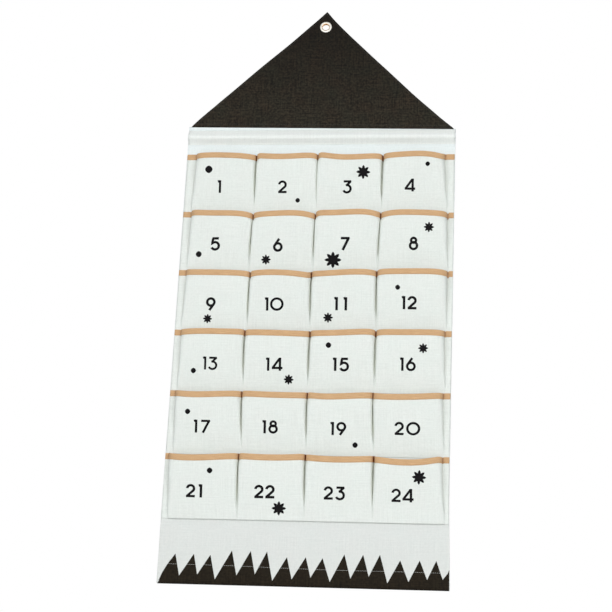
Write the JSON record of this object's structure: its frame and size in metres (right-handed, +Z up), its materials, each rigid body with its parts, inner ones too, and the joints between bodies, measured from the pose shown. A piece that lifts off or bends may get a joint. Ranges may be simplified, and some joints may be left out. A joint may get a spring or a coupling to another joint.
{
  "type": "pocket advent calendar",
  "caption": "Hanging canvas calendar panel with a dark triangular gable, rows of open pockets with taped mouths, a top dowel and a foot dowel.",
  "frame": {"origin": "centre of the hanging eyelet's hole, in the middle of the gable's thickness", "axes": "+Z up along the hanging panel, front faces -Y, +X to the right as seen from the front"},
  "size_m": [0.46, 0.0328, 1.0155],
  "materials": {
    "canvas": "matte woven cotton canvas",
    "gable_cloth": "matte woven canvas, brown black",
    "cotton_tape": "matte woven cotton tape, tan",
    "dowel_wood": "plain sanded softwood",
    "eyelet_metal": "polished pale brass"
  },
  "bodies": {
    "gable": {"gable_front": "gable_cloth", "gable_back": "gable_cloth", "eyelet": "eyelet_metal", "eyelet_washer": "eyelet_metal"},
    "panel": {"backing_panel": "canvas", "top_sleeve": "canvas", "pocket_row_1": "canvas", "pocket_row_2": "canvas", "pocket_row_3": "canvas", "pocket_row_4": "canvas", "pocket_row_5": "canvas", "pocket_row_6": "canvas", "binding_1": "cotton_tape", "binding_2": "cotton_tape", "binding_3": "cotton_tape", "binding_4": "cotton_tape", "binding_5": "cotton_tape", "binding_6": "cotton_tape"},
    "top_rod": {"top_rod": "dowel_wood"},
    "bottom_rod": {"bottom_rod": "dowel_wood"}
  },
  "joints": [
    {"name": "gable_fold", "type": "hinge", "parent": "gable", "child": "panel", "pos_m": [0, 0, -0.1945], "axis": [1, 0, 0], "range_deg": [-140, 140]},
    {"name": "top_rod_slide", "type": "slide", "parent": "panel", "child": "top_rod", "axis": [1, 0, 0], "range_m": [0, 0.45]},
    {"name": "bottom_rod_slide", "type": "slide", "parent": "panel", "child": "bottom_rod", "axis": [1, 0, 0], "range_m": [0, 0.45]}
  ]
}
